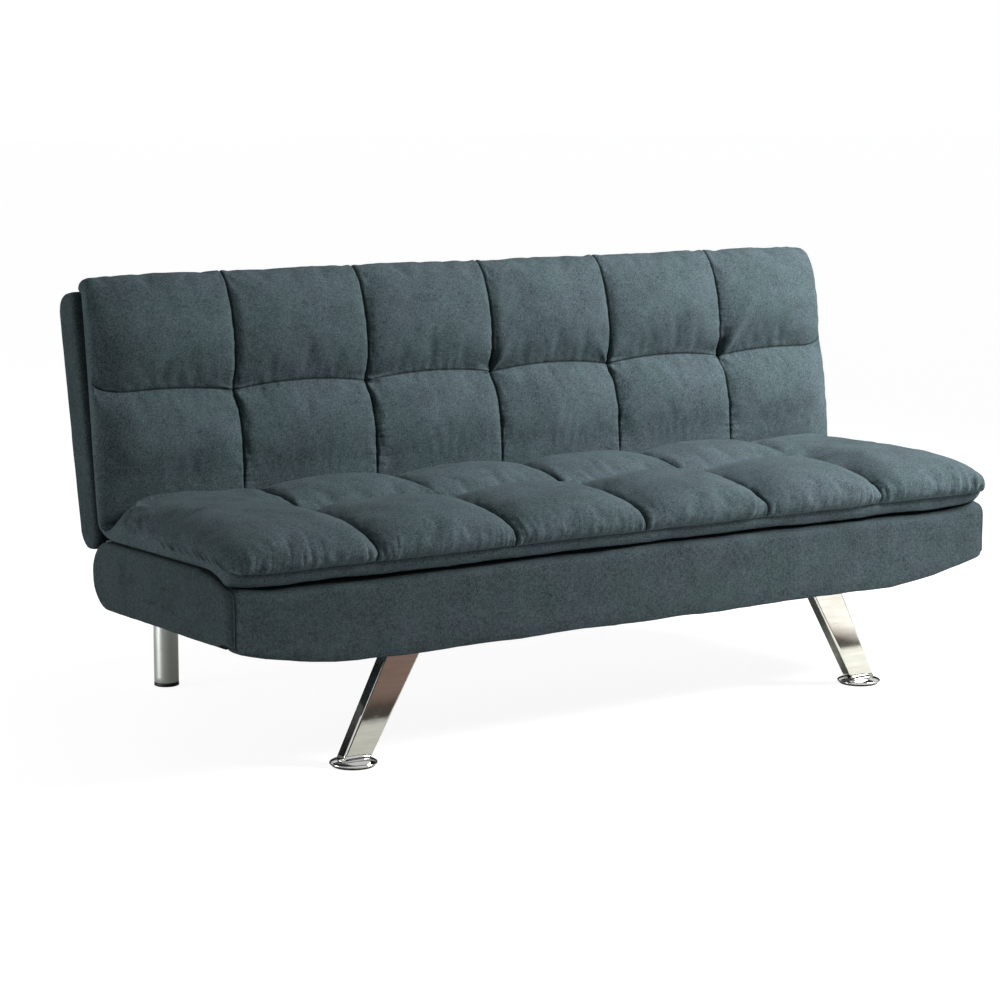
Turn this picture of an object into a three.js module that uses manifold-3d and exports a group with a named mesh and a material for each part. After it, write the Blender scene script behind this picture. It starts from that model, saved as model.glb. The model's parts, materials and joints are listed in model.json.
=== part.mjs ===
// Three-seat click-clack sofa bed: an upholstered seat box on two splayed chrome front legs and a
// tubular rear leg frame, with an upholstered back that turns about a hinge unit at each end.
// Millimetres, +X along the length, +Y towards the back, +Z up. Inside the builders Y is measured
// from the front face of the seat box; the last lines move the origin to the middle of the footprint.
import * as THREE from "three";
import { mergeVertices } from "three/addons/utils/BufferGeometryUtils.js";
import Module from "manifold-3d";

const wasm = await Module();
wasm.setup();

// ---- driving dimensions -------------------------------------------------------------------
const SEAT = {
  halfWidth: 896, depth: 525, top: 380, bottom: 250, apronBottom: 208,
  frontRadius: 20, rearRadius: 60, planRadius: 28, skin: 6,
};
const BACK = {
  halfWidth: 896, start: 10, end: 490, front: 33, thickness: 65, topRadius: 30, skin: 5,
};
const HINGE = {
  y: 528, z: 347,          // the axis the back turns about
  upright: 80,             // degrees from the bed position up to the sitting position
  plateX: 856.5,           // inner face of the fixed plate
  plate: 5, gap: 0.7, boltRadius: 6, boltHole: 6.4,
};
const PAWL = { angle: 250, reach: 38, length: 55, swing: 12, pinRadius: 4, pinHole: 4.4 };
const PAD = { seatHalfWidth: 895, backHalfWidth: 885, seatCrown: 455, backCrown: 95, backTop: 514 };
const RAIL = { thick: 25, bottom: 252.5, top: 324 };
const FRONT_LEG = { footX: 610, footY: 65, topX: 483.5, topZ: 245.2, footZ: 14 };
const REAR_LEG = { x: 567, y: 857, radius: 25, wall: 1.8, bottom: 8, top: 303 };
const FRAME_TUBE = { width: 40, height: 25, wall: 1.8, top: 249.8 };
const GAP = 0.3;           // between pieces that touch
const SIDES = [["left", -1], ["right", 1]];
const DEG = Math.PI / 180;

// ---- materials ----------------------------------------------------------------------------
const finish = (color, roughness, metalness) => ({ color, roughness, metalness });
const FINISH = {
  fabric: finish(0x46555b, 0.95, 0),
  lining: finish(0x17191a, 0.9, 0),
  foam: finish(0xd9d2bd, 0.95, 0),
  webbing: finish(0x2b2b2b, 0.9, 0),
  timber: finish(0xb58d5d, 0.75, 0),
  chrome: finish(0xd8d8d8, 0.08, 1),
  silver: finish(0x9ea3a4, 0.38, 0.8),
  zinc: finish(0x8f9394, 0.42, 0.9),
  spring: finish(0x5b5d5e, 0.4, 0.9),
  plastic: finish(0x141414, 0.55, 0),
  rubber: finish(0x1b1b1b, 0.85, 0),
};

// ---- solids -------------------------------------------------------------------------------
function toSolid(geometry) {
  const bare = geometry.clone();
  bare.deleteAttribute("normal");
  bare.deleteAttribute("uv");
  const merged = mergeVertices(bare, 1e-4);
  return new wasm.Manifold(new wasm.Mesh({
    numProp: 3,
    vertProperties: new Float32Array(merged.attributes.position.array),
    triVerts: new Uint32Array(merged.index.array),
  }));
}

function toGeometry(solid) {
  const mesh = solid.getMesh();
  const geometry = new THREE.BufferGeometry();
  geometry.setAttribute("position", new THREE.BufferAttribute(mesh.vertProperties, 3));
  geometry.setIndex(new THREE.BufferAttribute(mesh.triVerts, 1));
  geometry.computeVertexNormals();
  return geometry;
}

// Axis-aligned block from [low, high] pairs.
function block(x, y, z) {
  const geometry = new THREE.BoxGeometry(x[1] - x[0], y[1] - y[0], z[1] - z[0]);
  geometry.translate((x[0] + x[1]) / 2, (y[0] + y[1]) / 2, (z[0] + z[1]) / 2);
  return toSolid(geometry);
}

const AXES = {
  x: [new THREE.Vector3(0, 1, 0), new THREE.Vector3(0, 0, 1), new THREE.Vector3(1, 0, 0)],
  y: [new THREE.Vector3(0, 0, 1), new THREE.Vector3(1, 0, 0), new THREE.Vector3(0, 1, 0)],
  z: [new THREE.Vector3(1, 0, 0), new THREE.Vector3(0, 1, 0), new THREE.Vector3(0, 0, 1)],
};

// Prism of an outline drawn in (y, z), (z, x) or (x, y), from low to high along x, y or z.
function prism(shape, axis, low, high, curveSegments = 6) {
  const geometry = new THREE.ExtrudeGeometry(shape, {
    depth: high - low, bevelEnabled: false, curveSegments,
  });
  geometry.applyMatrix4(new THREE.Matrix4().makeBasis(...AXES[axis]));
  geometry.translate(...AXES[axis][2].clone().multiplyScalar(low).toArray());
  return toSolid(geometry);
}

// Rectangle with a radius at each corner, given from the low-low corner anticlockwise.
function roundedRect(x, y, [a, b, c, d]) {
  const shape = new THREE.Shape();
  shape.moveTo(x[0] + a, y[0]);
  shape.lineTo(x[1] - b, y[0]);
  if (b > 0) shape.absarc(x[1] - b, y[0] + b, b, -Math.PI / 2, 0);
  shape.lineTo(x[1], y[1] - c);
  if (c > 0) shape.absarc(x[1] - c, y[1] - c, c, 0, Math.PI / 2);
  shape.lineTo(x[0] + d, y[1]);
  if (d > 0) shape.absarc(x[0] + d, y[1] - d, d, Math.PI / 2, Math.PI);
  shape.lineTo(x[0], y[0] + a);
  if (a > 0) shape.absarc(x[0] + a, y[0] + a, a, Math.PI, 1.5 * Math.PI);
  return shape;
}

function polygon(points) {
  return new THREE.Shape(points.map(([x, y]) => new THREE.Vector2(x, y)));
}

// Solid of revolution about the X axis (or Z) from [radius, position] pairs that start and end on it.
function turned(profile, axis, segments = 20) {
  const points = profile.map(([radius, along]) => new THREE.Vector2(radius, along));
  const geometry = new THREE.LatheGeometry(points, segments);
  if (axis === "x") geometry.rotateZ(-Math.PI / 2);
  if (axis === "z") geometry.rotateX(Math.PI / 2);
  return toSolid(geometry);
}

function rod(axis, radius, low, high, segments = 20) {
  return turned([[0, low], [radius, low], [radius, high], [0, high]], axis, segments);
}

// ---- assembly -----------------------------------------------------------------------------
const sofa = new THREE.Group();
const seat = new THREE.Group();
const back = new THREE.Group();     // its own Y and Z are measured from the hinge, laid out flat
sofa.add(seat, back);
back.position.set(0, HINGE.y, HINGE.z);
back.rotation.x = HINGE.upright * DEG;

function add(group, name, solid, look) {
  const mesh = new THREE.Mesh(toGeometry(solid), new THREE.MeshStandardMaterial(FINISH[look]));
  mesh.name = name;
  group.add(mesh);
  return mesh;
}

// ---- seat box -----------------------------------------------------------------------------
function seatOutline(inset) {
  const { depth, top, bottom, frontRadius, rearRadius } = SEAT;
  const front = Math.max(frontRadius - inset, 1);
  const rear = rearRadius - inset;
  return roundedRect([inset, depth - inset], [bottom + inset, top - inset], [0, rear, rear, front]);
}

// The front board's outline: level in the middle of its lower edge, swept up to the corners.
function apronOutline(inset, top) {
  const half = SEAT.halfWidth - inset;
  const low = SEAT.apronBottom + inset;
  const shape = new THREE.Shape();
  shape.moveTo(top, -half);
  shape.lineTo(SEAT.bottom + inset, -half);
  shape.quadraticCurveTo(low, -half * 0.84, low, -half * 0.68);
  shape.lineTo(low, half * 0.68);
  shape.quadraticCurveTo(low, half * 0.84, SEAT.bottom + inset, half);
  shape.lineTo(top, half);
  return shape;
}

function seatPlan(inset) {
  const { halfWidth, depth, planRadius } = SEAT;
  const front = planRadius - inset;
  const rear = 12 - Math.min(inset, 6);
  return prism(
    roundedRect([-halfWidth + inset, halfWidth - inset], [inset, depth - inset], [front, front, rear, rear]),
    "z", 150, 400);
}

function hingeNotch(margin, y, z) {
  const low = HINGE.plateX - 28 - margin;
  const high = HINGE.plateX + 16 + margin;
  return SIDES.map(([, side]) => block([low, high].map((x) => side * x).sort((a, b) => a - b), y, z))
    .reduce((both, one) => both.add(one));
}

// Upholstered shell, open underneath and behind the front board.
function seatCover() {
  const { halfWidth, skin, depth, bottom, top, frontRadius, rearRadius } = SEAT;
  const outer = prism(seatOutline(0), "x", -halfWidth, halfWidth).intersect(seatPlan(0));
  const floor = block([-halfWidth, halfWidth], [skin, depth - rearRadius], [bottom - 5, bottom + 20]);
  const inner = prism(seatOutline(skin), "x", -halfWidth, halfWidth).add(floor).intersect(seatPlan(skin));
  return outer.subtract(inner)
    .subtract(block([-halfWidth, halfWidth], [-1, skin + GAP], [bottom - 5, top - frontRadius + GAP]))
    .subtract(hingeNotch(0, [HINGE.y - 52, depth + 5], [298, top + 5]));
}

function seatFrontPanel() {
  return prism(apronOutline(0, SEAT.top - SEAT.frontRadius), "y", 0, SEAT.skin).intersect(seatPlan(0));
}

function seatFoam() {
  const inset = SEAT.skin + 1;
  const half = SEAT.halfWidth - inset;
  return prism(seatOutline(inset), "x", -half, half)
    .intersect(block([-half, half], [0, SEAT.depth], [338, SEAT.top])).intersect(seatPlan(inset))
    .subtract(hingeNotch(1, [HINGE.y - 130, SEAT.depth], [330, SEAT.top]));
}

function zigzagSpring(x) {
  const start = 24;
  const end = 446;
  const waves = 7;
  const steps = waves * 8;
  const points = Array.from({ length: steps + 1 }, (_, i) => {
    const t = i / steps;
    const crown = 8 * Math.sin(Math.PI * t);
    return new THREE.Vector3(
      x + 24 * Math.sin(2 * Math.PI * waves * t), start + (end - start) * t, 326.6 + crown);
  });
  const wire = polygon([0, 1, 2, 3, 4].map((i) => [
    1.8 * Math.cos((i * 2 * Math.PI) / 5), 1.8 * Math.sin((i * 2 * Math.PI) / 5)]));
  return toSolid(new THREE.ExtrudeGeometry(wire, {
    steps, bevelEnabled: false, extrudePath: new THREE.CatmullRomCurve3(points),
  }));
}

function buildSeatFrame() {
  const { halfWidth, skin, depth } = SEAT;
  const { thick, bottom, top } = RAIL;
  const inside = halfWidth - skin - 2;
  const railInner = inside - thick;
  const front = skin + 2;
  const legRailRear = 130;
  const rear = [438, 463];
  add(seat, "seat_front_rail",
    prism(apronOutline(front, top), "y", front, front + 22).intersect(seatPlan(front)),
    "timber");
  add(seat, "seat_leg_rail",
    block([-railInner + GAP, railInner - GAP], [front + 22 + GAP, legRailRear], [bottom, bottom + 27]),
    "timber");
  for (const [name, side] of SIDES) {
    add(seat, `seat_${name}_rail`,
      block([railInner, inside].map((x) => side * x).sort((a, b) => a - b),
        [front + 22 + GAP, 490], [bottom + 10, top]),
      "timber");
  }
  add(seat, "seat_rear_rail",
    block([-railInner + GAP, railInner - GAP], rear, [bottom, top])
      .subtract(block([-1000, -840], [400, 500], [288, 400]))
      .subtract(block([840, 1000], [400, 500], [288, 400])),
    "timber");
  add(seat, "seat_centre_rail",
    block([-thick / 2, thick / 2], [legRailRear + GAP, rear[0] - GAP], [bottom, top - 6]), "timber");
  [-640, -250, 250, 640].forEach((x, i) => add(seat, `seat_spring_${i + 1}`, zigzagSpring(x), "spring"));
  add(seat, "seat_foam", seatFoam(), "foam");
  add(seat, "seat_cover", seatCover(), "fabric");
  add(seat, "seat_front_panel", seatFrontPanel(), "fabric");
  add(seat, "seat_dust_cover",
    block([-inside, inside], [front + 22.5, depth - SEAT.rearRadius - 3], [bottom - 1.8, bottom - GAP]),
    "lining");
}

// Topper over the seat: turned down over the front edge, mitred towards the hinge at the rear.
function seatPad() {
  const { seatHalfWidth: half, seatCrown: crown } = PAD;
  const low = SEAT.top + 1;
  const mitre = (z) => HINGE.y - (z - HINGE.z) - 3;
  const side = polygon([
    [-2.5, 366], [-11, 368], [-15, 384], [-8, 406], [18, 434], [66, 452], [120, crown],
    [mitre(crown), crown], [mitre(low), low], [20, low], [6, low - 4], [-2.5, low - 12],
  ].reverse());
  const middle = 398;
  const ends = polygon([
    [340, -half + 14], [middle - 26, -half + 2], [middle, -half], [crown - 22, -half + 18],
    [crown, -half + 62], [crown, half - 62], [crown - 22, half - 18], [middle, half],
    [middle - 26, half - 2], [340, half - 14],
  ]);
  return prism(side, "x", -half, half).intersect(prism(ends, "y", -40, 540));
}

// ---- front legs ---------------------------------------------------------------------------
function legSection(halfX, halfY) {
  const r = 7;
  return roundedRect([-halfX, halfX], [-halfY, halfY], [r, r, r, r]).getPoints(3).slice(0, -1);
}

// Closed loft between two sections at given heights.
function loft(sections) {
  const count = sections[0].length;
  const positions = sections.flat(2);
  const index = [];
  for (let s = 0; s + 1 < sections.length; s += 1) {
    for (let i = 0; i < count; i += 1) {
      const a = s * count + i;
      const b = s * count + ((i + 1) % count);
      index.push(a, b, b + count, a, b + count, a + count);
    }
  }
  const last = (sections.length - 1) * count;
  for (let i = 1; i + 1 < count; i += 1) {
    index.push(0, i + 1, i, last, last + i, last + i + 1);
  }
  const geometry = new THREE.BufferGeometry();
  geometry.setAttribute("position", new THREE.BufferAttribute(new Float32Array(positions), 3));
  geometry.setIndex(index);
  return toSolid(geometry);
}

// A splayed bar of tapering rectangular tube, cut level at both ends.
function frontLeg(side) {
  const { footX, footY, topX, topZ, footZ } = FRONT_LEG;
  const bar = (inset, lift) => loft([[footZ - lift, footX, 30], [topZ + lift, topX, 40]].map(([z, x, halfX]) => {
    const lean = ((z - footZ) / (topZ - footZ)) * (topX - footX) + footX;
    const centre = lift > 0 ? lean : x;
    return legSection(halfX - inset, 14 - inset)
      .map((p) => [side * centre + p.x, footY + p.y, z]);
  }));
  return bar(0, 0).subtract(bar(2.5, 1));
}

function buildFrontLegs() {
  const { footX, footY, topX, topZ } = FRONT_LEG;
  for (const [name, side] of SIDES) {
    const plateX = [topX - 62, topX + 62].map((x) => side * x).sort((a, b) => a - b);
    add(seat, `front_leg_${name}`, frontLeg(side), "chrome");
    add(seat, `front_leg_plate_${name}`,
      prism(roundedRect(plateX, [footY - 31, footY + 45], [8, 8, 8, 8]), "z", topZ + GAP, topZ + 4.5),
      "zinc");
    const disc = turned([[0, 4.3], [43, 4.3], [44, 6], [43, 8.4], [36, 11.2], [31, 12.6], [20, 13.7], [0, 13.7]],
      "z", 24);
    const glide = turned([[0, 0], [38, 0], [40, 1.5], [40, 4], [0, 4]], "z", 24);
    add(seat, `front_foot_disc_${name}`, disc.translate([side * footX, footY, 0]), "chrome");
    add(seat, `front_foot_glide_${name}`, glide.translate([side * footX, footY, 0]), "plastic");
  }
}

// ---- rear leg frame -----------------------------------------------------------------------
function hollowBlock(x, y, z, wall, along) {
  const shrink = ([low, high], axis) => (axis === along ? [low - 1, high + 1] : [low + wall, high - wall]);
  return block(x, y, z).subtract(block(shrink(x, "x"), shrink(y, "y"), shrink(z, "z")));
}

function buildRearFrame() {
  const { x, y, radius, wall, bottom, top } = REAR_LEG;
  const { width, height, wall: tubeWall, top: tubeTop } = FRAME_TUBE;
  const z = [tubeTop - height, tubeTop];
  const cope = (cx) => rod("z", radius + GAP, 0, 400, 24).translate([cx, y, 0]);
  for (const [name, side] of SIDES) {
    const cx = side * x;
    const tube = rod("z", radius, bottom, top, 24).subtract(rod("z", radius - wall, bottom - 1, top + 1, 24));
    add(seat, `rear_leg_${name}`, tube.translate([cx, y, 0]), "silver");
    add(seat, `rear_arm_${name}`,
      hollowBlock([cx - width / 2, cx + width / 2], [132, y], z, tubeWall, "y").subtract(cope(cx)),
      "silver");
    add(seat, `rear_leg_cap_${name}`,
      turned([[0, 0], [23, 0], [25.4, 1.5], [25.4, 7.7], [0, 7.7]], "z", 24).translate([cx, y, 0]),
      "plastic");
    add(seat, `bed_rest_cap_${name}`,
      turned([[0, top + GAP], [25.4, top + GAP], [25.4, top + 6], [22, top + 8.6], [0, top + 8.6]], "z", 24)
        .translate([cx, y, 0]),
      "rubber");
  }
  add(seat, "rear_crossbar",
    hollowBlock([-x, x], [y - 15, y + 15], z, tubeWall, "x").subtract(cope(-x)).subtract(cope(x)),
    "silver");
}

// ---- hinge units --------------------------------------------------------------------------
function pawlPivot() {
  const toTip = (PAWL.angle - 90) * DEG;
  const tip = [
    HINGE.y + PAWL.reach * Math.cos(PAWL.angle * DEG), HINGE.z + PAWL.reach * Math.sin(PAWL.angle * DEG)];
  return { y: tip[0] + PAWL.length * Math.cos(toTip), z: tip[1] + PAWL.length * Math.sin(toTip) };
}

function span(side, low, high) {
  return [low, high].map((x) => side * x).sort((a, b) => a - b);
}

// Fixed plate, screwed to the seat's side rail and carrying the hinge bolt and the pawl pin.
function seatPlate(side) {
  const pivot = pawlPivot();
  const shape = new THREE.Shape();
  shape.moveTo(400, 290.5);
  shape.lineTo(486, 290.5);
  shape.lineTo(HINGE.y + 12, HINGE.z - 12);
  shape.absarc(HINGE.y, HINGE.z, 17, -Math.PI / 4, Math.PI / 2);
  shape.lineTo(470, 358);
  shape.lineTo(400, 336);
  const x = span(side, HINGE.plateX, HINGE.plateX + HINGE.plate);
  return prism(shape, "x", ...x)
    .subtract(rod("x", HINGE.boltHole, -1000, 1000).translate([0, HINGE.y, HINGE.z]))
    .subtract(rod("x", PAWL.pinHole, -1000, 1000).translate([0, pivot.y, pivot.z]));
}

// Moving plate: an arm up the back's side rail and a locking sector under the hinge bolt. Its outline
// is the hub, the arm and a sector whose rim is cut away or notched where the pawl may drop in.
function backPlate(side) {
  const toolFrom = PAWL.angle - HINGE.upright;       // pawl seen from the laid-flat plate, upright
  const rim = 42;
  const root = 33.5;
  const half = 7;                                    // degrees of rim removed each side of a notch
  const polar = (radius, angle) => [radius * Math.cos(angle * DEG), radius * Math.sin(angle * DEG)];
  const outline = [];
  const arc = (radius, from, to) => {
    const steps = Math.max(2, Math.round(Math.abs(to - from) / 9));
    for (let i = 0; i <= steps; i += 1) outline.push(polar(radius, from + ((to - from) * i) / steps));
  };
  const middle = toolFrom + HINGE.upright / 2;
  outline.push([58, -24], [172, -24], [172, -3], [60, -3], [24, 14]);
  arc(20, 50, 140);
  arc(root, 146, toolFrom + half);
  arc(rim, toolFrom + half, middle - half);
  arc(root, middle - half, middle + half);
  arc(rim, middle + half, toolFrom + HINGE.upright - half);
  arc(root, toolFrom + HINGE.upright - half, 272);
  arc(21, 282, 318);
  const x = span(side, HINGE.plateX - HINGE.gap - HINGE.plate, HINGE.plateX - HINGE.gap);
  return prism(polygon(outline), "x", ...x).subtract(rod("x", HINGE.boltHole, -1000, 1000));
}

// Locking pawl, drawn at its released position: the engaged outline turned back by its swing.
function pawl(side) {
  const pivot = pawlPivot();
  const along = (PAWL.angle + 90) * DEG;             // from the pawl's pivot to its tip
  const direction = [Math.cos(along), Math.sin(along)];
  const inward = [-direction[1], direction[0]];
  const at = (run, rise) => [
    pivot.y + run * direction[0] + rise * inward[0], pivot.z + run * direction[1] + rise * inward[1]];
  const shape = polygon([
    at(-9, -5), at(-4, -9), at(6, -9), at(56, -9), at(57.5, -4), at(57.5, 1.5), at(52.5, 1.5), at(51, -4.4),
    at(44, -3.4), at(12, 6), at(4, 9), at(-5, 8), at(-9, 4),
  ]);
  const x = span(side, HINGE.plateX - HINGE.gap - HINGE.plate + 0.3, HINGE.plateX - HINGE.gap - 0.3);
  return prism(shape, "x", ...x)
    .subtract(rod("x", PAWL.pinHole, -1000, 1000).translate([0, pivot.y, pivot.z]))
    .translate([0, -pivot.y, -pivot.z]).rotate([-PAWL.swing, 0, 0]).translate([0, pivot.y, pivot.z]);
}

function buildHinges() {
  const pivot = pawlPivot();
  const inner = HINGE.plateX - HINGE.gap - HINGE.plate - 0.6;
  const outer = HINGE.plateX + HINGE.plate + GAP;
  const shaft = (radius, head, headDepth, nutDepth) => turned([
    [0, inner - headDepth], [head, inner - headDepth], [head, inner], [radius, inner],
    [radius, outer], [head, outer], [head, outer + nutDepth], [0, outer + nutDepth],
  ], "x", 20);
  for (const [name, side] of SIDES) {
    const flip = (solid) => (side > 0 ? solid : solid.rotate([0, 0, 180]));
    add(seat, `hinge_seat_plate_${name}`, seatPlate(side), "zinc");
    add(seat, `hinge_bolt_${name}`,
      flip(shaft(HINGE.boltRadius, 11, 6, 7)).translate([0, HINGE.y, HINGE.z]), "zinc");
    add(seat, `pawl_pin_${name}`,
      flip(turned([
        [0, inner - 2.5], [7, inner - 2.5], [7, inner], [PAWL.pinRadius, inner],
        [PAWL.pinRadius, outer - GAP], [0, outer - GAP],
      ], "x", 16)).translate([0, pivot.y, pivot.z]),
      "zinc");
    add(seat, `pawl_${name}`, pawl(side), "zinc");
    add(back, `hinge_back_plate_${name}`, backPlate(side), "zinc");
  }
}

// ---- back ---------------------------------------------------------------------------------
function backOutline(inset) {
  const { start, end, front, thickness, topRadius } = BACK;
  const round = thickness / 2 - inset - 0.2;
  const far = topRadius - inset;
  return roundedRect([start + inset, end - inset], [front - thickness + inset, front - inset],
    [round, far, Math.min(far, 16), round]);
}

function buildBack() {
  const { halfWidth, front, thickness, skin, start, end } = BACK;
  const inside = halfWidth - skin - 1;
  const rear = front - thickness;
  const t = [rear + skin + 0.8, 1];
  const plan = (inset, radius) => prism(
    roundedRect([-halfWidth + inset, halfWidth - inset], [start + inset, end - inset],
      [radius, radius, radius + 8, radius + 8]), "z", -80, 80);
  const shell = prism(backOutline(0), "x", -halfWidth, halfWidth).intersect(plan(0, 16))
    .subtract(prism(backOutline(skin), "x", -halfWidth + skin, halfWidth - skin).intersect(plan(skin, 11)))
    .subtract(block([-830, 830], [70, 440], [rear - 5, rear + 10]))
    .subtract(hingeNotch(0, [0, 24], [-40, 40]));
  add(back, "back_cover", shell, "fabric");
  add(back, "back_rear_panel", block([-829.5, 829.5], [70.5, 439.5], [rear, rear + 4]), "lining");
  const sideRail = [HINGE.plateX - 0.2, HINGE.plateX - 0.2 + RAIL.thick];
  for (const [name, side] of SIDES) {
    add(back, `back_${name}_rail`, block(span(side, ...sideRail), [36, 462], t), "timber");
  }
  add(back, "back_bottom_rail", block([-850, 850], [36, 60], t), "timber");
  add(back, "back_top_rail", block([-sideRail[0] + GAP, sideRail[0] - GAP], [438, 462], t), "timber");
  add(back, "back_centre_rail", block([-12.5, 12.5], [60.3, 437.7], t), "timber");
  [-600, -230, 230, 600].forEach((x, i) => add(back, `back_webbing_${i + 1}`,
    block([x - 30, x + 30], [38, 460], [t[1] + GAP, t[1] + 2.3]), "webbing"));
  add(back, "back_foam",
    prism(backOutline(skin + 1), "x", -inside + 1, inside - 1)
      .intersect(block([-900, 900], [0, 600], [t[1] + 2.7, 60])).intersect(plan(skin + 1, 10))
      .subtract(hingeNotch(1, [0, 50], [-60, 60])),
    "foam");
}

// Topper over the back, mitred towards the hinge like the seat's.
function backPad() {
  const { backHalfWidth: half, backCrown: crown, backTop } = PAD;
  const low = BACK.front + 1;
  const side = polygon([
    [low + 3, low], [492, low], [backTop - 6, 42], [backTop, 58], [backTop - 6, 78], [486, crown - 3],
    [466, crown], [crown + 3, crown],
  ]);
  const middle = 66;
  const ends = polygon([
    [low - 4, -half + 10], [middle, -half], [crown - 12, -half + 14], [crown, -half + 46],
    [crown, half - 46], [crown - 12, half - 14], [middle, half], [low - 4, half - 10],
  ]);
  return prism(side, "x", -half, half).intersect(prism(ends, "y", 0, 600));
}

buildSeatFrame();
add(seat, "seat_pad", seatPad(), "fabric");
buildFrontLegs();
buildRearFrame();
buildHinges();
buildBack();
add(back, "back_pad", backPad(), "fabric");

const footprint = new THREE.Box3().setFromObject(sofa, true);
sofa.position.y = -(footprint.min.y + footprint.max.y) / 2;

export default sofa;
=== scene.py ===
import json
import math

import bmesh
import bpy
import numpy as np
from mathutils import Matrix, Vector, noise


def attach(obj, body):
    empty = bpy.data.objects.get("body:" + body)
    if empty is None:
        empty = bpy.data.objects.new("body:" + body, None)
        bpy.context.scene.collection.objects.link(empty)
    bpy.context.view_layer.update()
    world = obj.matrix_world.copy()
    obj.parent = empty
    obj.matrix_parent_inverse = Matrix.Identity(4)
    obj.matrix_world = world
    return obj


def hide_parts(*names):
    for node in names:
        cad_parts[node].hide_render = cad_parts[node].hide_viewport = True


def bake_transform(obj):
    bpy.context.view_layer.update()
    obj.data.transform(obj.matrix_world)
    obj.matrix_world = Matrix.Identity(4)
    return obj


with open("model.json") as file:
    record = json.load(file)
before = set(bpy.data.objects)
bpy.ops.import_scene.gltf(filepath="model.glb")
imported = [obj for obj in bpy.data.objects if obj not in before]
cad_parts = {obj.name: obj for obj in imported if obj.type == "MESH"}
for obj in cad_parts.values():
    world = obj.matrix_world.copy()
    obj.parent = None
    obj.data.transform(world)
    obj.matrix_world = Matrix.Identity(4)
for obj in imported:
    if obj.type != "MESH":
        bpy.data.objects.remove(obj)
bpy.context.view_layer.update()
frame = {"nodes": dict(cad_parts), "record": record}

# Metres. +X along the length, +Y towards the back, +Z up. Profiles are written in millimetres from
# the front face of the seat box; FRONT is where that face lies in the shared frame.
MM = 0.001
FRONT = -0.4337
HINGE = (528.0, 347.0)                 # the axis the back turns about, (y, z)
LEAN = math.radians(80)                # the back's angle above the bed position
SEAT_HALF = 895.0                      # half widths: the topper over the seat and over the back,
BACK_HALF = 885.0
BOX_HALF = 896.0                       # and both upholstered boxes
HINGE_SLOT = (828.5, 872.5)            # the hinge units lie between these distances from the middle
FRONT_FOOT = (610, 65)                 # where a front leg stands, (x, y)
SEAMS = (-598.6, -299.3, 0.0, 299.3, 598.6)                    # the topper's column seams


# ---- places --------------------------------------------------------------------------------
def from_back(s, t):
    """A point of the back, s up its face and t out of it, as (y, z)."""
    c, d = math.cos(LEAN), math.sin(LEAN)
    return HINGE[0] + s * c - t * d, HINGE[1] + s * d + t * c


def place(x, y, z):
    """A profile's millimetres as a point of the shared frame."""
    return Vector((x * MM, y * MM + FRONT, z * MM))


def sampled(points, stations):
    """The smooth path through the points, at stations counted in points."""
    p = np.array(points, float)
    ends = np.vstack([2 * p[0] - p[1], p, 2 * p[-1] - p[-2]])
    i = np.clip(np.floor(stations).astype(int), 0, len(p) - 2)
    t = (stations - i)[:, None]
    a, b, c, d = ends[i], ends[i + 1], ends[i + 2], ends[i + 3]
    return 0.5 * (2 * b + (c - a) * t + (2 * a - 5 * b + 4 * c - d) * t * t
                  + (3 * b - a - 3 * c + d) * t ** 3)


def curve(points, count):
    """The smooth path through the points, sampled evenly along its length."""
    spans = len(points) - 1
    fine = sampled(points, np.linspace(0, spans, 12 * spans + 1))
    run = arc_length(fine)
    at = np.linspace(0, run[-1], count)
    return np.stack([np.interp(at, run, fine[:, k]) for k in range(fine.shape[1])], 1)


def arc_length(path):
    steps = np.linalg.norm(np.diff(path, axis=0), axis=1)
    return np.concatenate([[0], np.cumsum(steps)])


def ramp(value, low, high):
    """0 up to low, 1 from high on, smooth between them."""
    t = np.clip((value - low) / (high - low), 0, 1)
    return t * t * (3 - 2 * t)


def noise_at(points, scale, seed=0.0):
    """Smooth noise from -1 to 1 at each point; scale is in waves per unit of the points."""
    shift = Vector((seed * 13.7, seed * 7.1, seed * 3.3))
    return np.array([noise.noise(Vector(p) * scale + shift) for p in points])


# ---- meshes --------------------------------------------------------------------------------
def mesh_object(name, points, faces):
    mesh = bpy.data.meshes.new(name)
    mesh.from_pydata([tuple(p) for p in points], [], faces)
    mesh.validate()
    mesh.update()
    mesh.shade_smooth()
    made = bpy.data.objects.new(name, mesh)
    bpy.context.scene.collection.objects.link(made)
    return made


def baked(obj):
    """Applies the object's modifiers."""
    bpy.context.view_layer.update()
    evaluated = obj.evaluated_get(bpy.context.evaluated_depsgraph_get())
    mesh = bpy.data.meshes.new_from_object(evaluated)
    obj.modifiers.clear()
    old = obj.data
    obj.data = mesh
    bpy.data.meshes.remove(old)


def subdivided(obj):
    mod = obj.modifiers.new("subdivision", "SUBSURF")
    mod.levels = mod.render_levels = 1
    baked(obj)


def outward(obj):
    """Joins points that coincide and turns every face outwards."""
    bm = bmesh.new()
    bm.from_mesh(obj.data)
    bmesh.ops.remove_doubles(bm, verts=bm.verts, dist=1e-6)
    bmesh.ops.recalc_face_normals(bm, faces=bm.faces)
    bm.to_mesh(obj.data)
    bm.free()
    obj.data.update()
    return obj


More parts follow.
